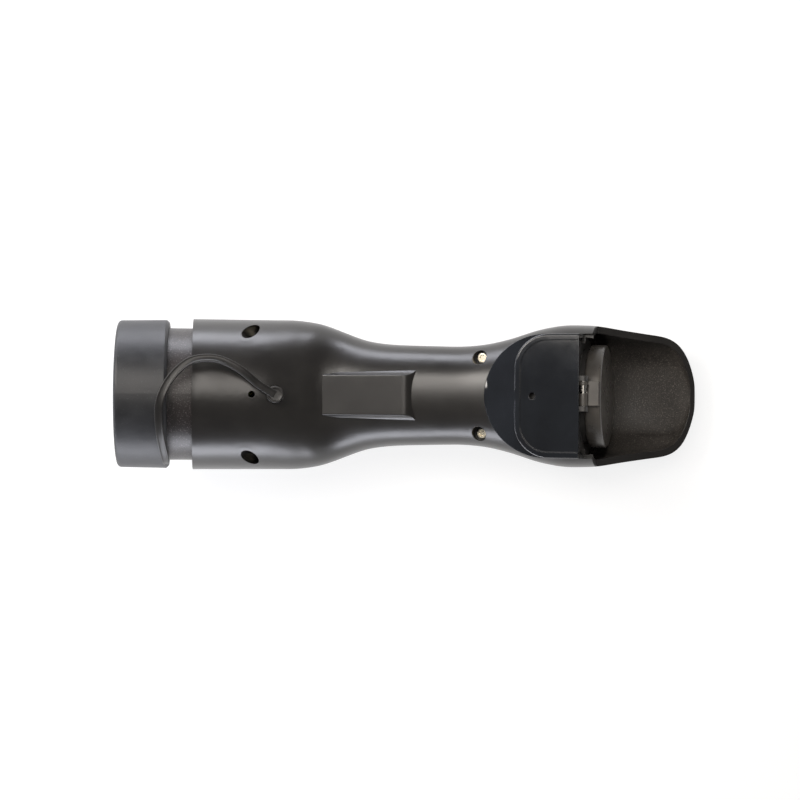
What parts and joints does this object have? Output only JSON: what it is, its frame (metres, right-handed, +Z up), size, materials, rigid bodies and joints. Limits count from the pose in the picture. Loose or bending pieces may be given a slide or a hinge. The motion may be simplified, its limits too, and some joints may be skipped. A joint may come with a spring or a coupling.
{
  "type": "vehicle-to-load adapter",
  "caption": "Handheld adapter from a type 2 car connector to an earthed two-pin socket, with a capped nose, a rain hood and a sprung lid.",
  "frame": {"origin": "middle of the object's length and width, at the bench it lies on", "axes": "+X along the handle and out of the socket's mouth, +Z up from the bench, out of the side with the screws, +Y across the handle"},
  "size_m": [0.2781, 0.0722, 0.102],
  "materials": {
    "shell_plastic": "fine moulded grain",
    "cover_plastic": "polished",
    "screw_steel": "yellow passivated",
    "nose_plastic": "spark-eroded texture",
    "seal_rubber": "matt",
    "carrier_plastic": "fine moulded",
    "plain_steel": "zinc plated",
    "contact_silver": "silver plated",
    "cap_rubber": "matt, bloomed",
    "strap_rubber": "satin",
    "socket_plastic": "fine moulded",
    "shutter_plastic": "fine moulded",
    "clip_brass": "bright",
    "earth_steel": "nickel plated",
    "lid_plastic": "semi-gloss",
    "pin_steel": "ground",
    "spring_steel": "drawn wire",
    "button_rubber": "matt",
    "switch_plastic": "moulded",
    "board_laminate": "solder mask",
    "resistor_body": "lacquered",
    "blue_insulation": "satin",
    "earth_insulation": "satin",
    "brown_insulation": "satin",
    "white_insulation": "satin",
    "grey_insulation": "satin"
  },
  "bodies": {
    "housing": {"screw_shell": "shell_plastic", "hood_shell": "shell_plastic", "socket_cover": "cover_plastic", "barrel_screws": "screw_steel", "grip_screws": "screw_steel", "connector_nose": "nose_plastic", "nose_seal": "seal_rubber", "contact_carrier": "carrier_plastic", "contact_retainer": "carrier_plastic", "carrier_screws": "plain_steel", "neutral_contact": "contact_silver", "earth_contact": "contact_silver", "line_contact": "contact_silver", "pilot_contact": "contact_silver", "proximity_contact": "contact_silver", "cap_tether": "strap_rubber", "socket_body": "socket_plastic", "shutter_spring": "spring_steel", "contact_block": "carrier_plastic", "socket_neutral_clip": "clip_brass", "socket_line_clip": "clip_brass", "earth_clip": "earth_steel", "socket_back": "socket_plastic", "socket_screws": "plain_steel", "lid_hinge_pin": "pin_steel", "lid_spring": "spring_steel", "button_spring": "spring_steel", "microswitch": "switch_plastic", "control_board": "board_laminate", "board_screws": "plain_steel", "coding_resistor": "resistor_body", "neutral_wire": "blue_insulation", "earth_wire": "earth_insulation", "line_wire": "brown_insulation", "pilot_wire": "white_insulation", "proximity_wire": "grey_insulation"},
    "dust_cap": {"dust_cap": "cap_rubber"},
    "lid": {"socket_lid": "lid_plastic", "lid_gasket": "seal_rubber"},
    "shutter": {"socket_shutter": "shutter_plastic"},
    "button": {"push_button": "button_rubber"}
  },
  "joints": [
    {"name": "lid_hinge", "type": "hinge", "parent": "housing", "child": "lid", "pos_m": [0.09435, 0.0011, 0.0597], "axis": [0, -1, 0], "range_deg": [0, 98], "stiffness_Nm_per_rad": 0.02, "springref_deg": -22.92},
    {"name": "cap_slide", "type": "slide", "parent": "housing", "child": "dust_cap", "axis": [-0.9135, 0, 0.4067], "range_m": [0, 0.04], "deforming": ["cap_tether"]},
    {"name": "button_press", "type": "slide", "parent": "housing", "child": "button", "axis": [0, 0, 1], "range_m": [0, 0.0012], "stiffness_N_per_m": 900, "springref_m": -0.001, "deforming": ["button_spring"]},
    {"name": "shutter_turn", "type": "hinge", "parent": "housing", "child": "shutter", "pos_m": [0.07866, 0, 0.0345], "axis": [-1, 0, 0], "range_deg": [0, 32], "stiffness_Nm_per_rad": 0.004, "springref_deg": -17.19}
  ]
}
